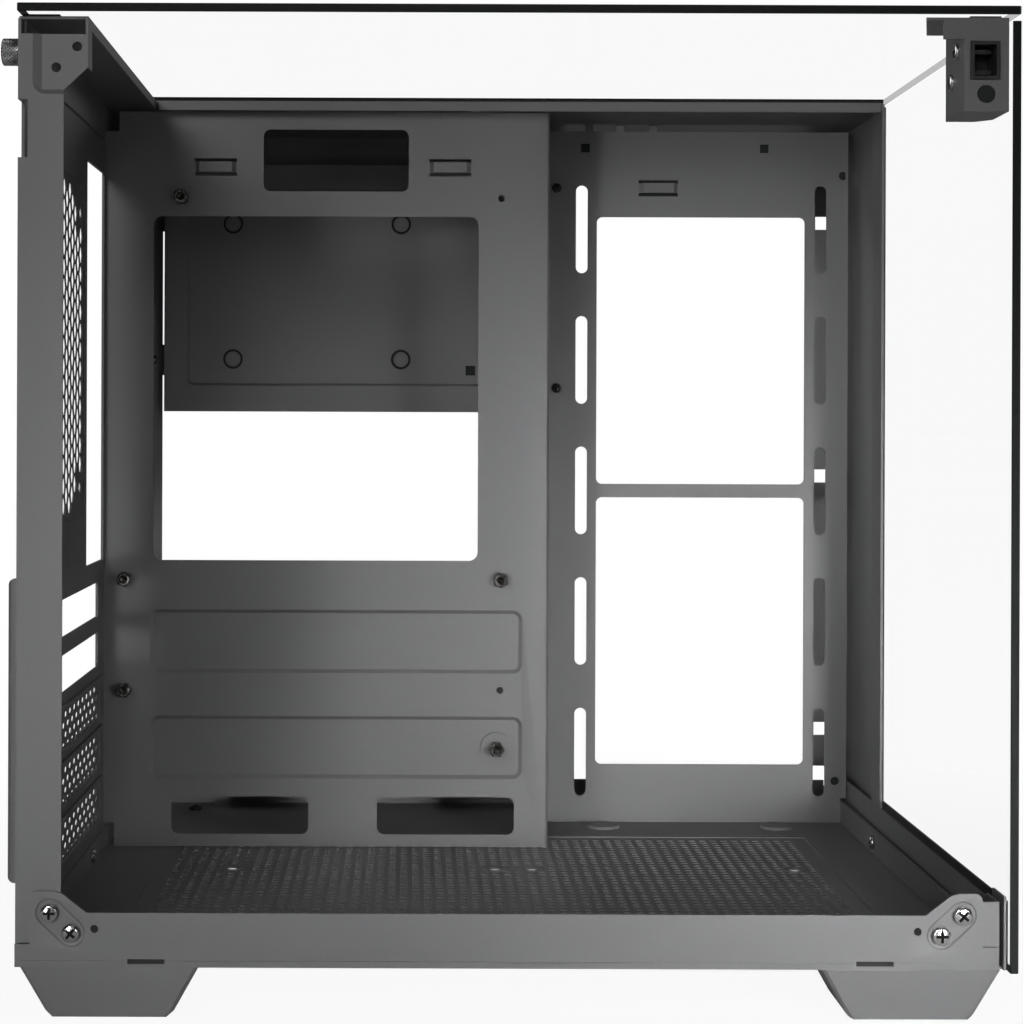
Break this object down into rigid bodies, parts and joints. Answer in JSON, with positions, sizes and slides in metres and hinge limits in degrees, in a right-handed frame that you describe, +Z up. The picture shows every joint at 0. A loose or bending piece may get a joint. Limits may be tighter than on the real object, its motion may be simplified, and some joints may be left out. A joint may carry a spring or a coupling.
{
  "type": "computer case",
  "caption": "Two-chamber micro-ATX computer case with glass top and front, board tray, side fan panel and drive plate; side panels off.",
  "frame": {"origin": "centre of the whole outline, on the surface that the feet stand on", "axes": "+X from the back panel to the front glass, +Y from the open side to the far side, +Z up"},
  "size_m": [0.3388, 0.2907, 0.329],
  "materials": {
    "steel_sheet": "grey powder coat, half matt",
    "glass": "toughened, nearly clear",
    "foam_tape": "black foam",
    "catch_plastic": "moulded",
    "foot_plastic": "moulded, half matt",
    "soft_pad": "matt",
    "bright_screws": "bright zinc",
    "dark_screws": "dark plated",
    "standoff_metal": "plated, dull",
    "black_screw": "black, knurled"
  },
  "bodies": {
    "root": {"back_ear_screws": "dark_screws", "back_panel": "steel_sheet", "back_top_rail": "steel_sheet", "bracket_screws": "bright_screws", "chamber_top_cover": "steel_sheet", "corner_bracket": "steel_sheet", "drive_plate": "steel_sheet", "drive_plate_screws": "dark_screws", "fan_panel_screws": "dark_screws", "floor_pan": "steel_sheet", "foot_back_far": "foot_plastic", "foot_back_near": "foot_plastic", "foot_front_far": "foot_plastic", "foot_front_near": "foot_plastic", "foot_pad_back_far": "soft_pad", "foot_pad_back_near": "soft_pad", "foot_pad_front_far": "soft_pad", "foot_pad_front_near": "soft_pad", "foot_screws": "dark_screws", "front_ear_screws": "bright_screws", "front_glass": "glass", "front_glass_rail": "steel_sheet", "front_glass_tape": "foam_tape", "front_post": "steel_sheet", "motherboard_tray": "steel_sheet", "pan_screws": "dark_screws", "panel_catch": "catch_plastic", "rivets": "dark_screws", "side_fan_panel": "steel_sheet", "slot_cover_3": "steel_sheet", "slot_cover_4": "steel_sheet", "slot_cover_5": "steel_sheet", "slot_cover_screws": "dark_screws", "slot_screw_cover": "steel_sheet", "standoffs": "standoff_metal", "thumbscrew": "black_screw", "top_deck": "steel_sheet", "top_glass": "glass", "top_glass_tape": "foam_tape"}
  },
  "joints": []
}
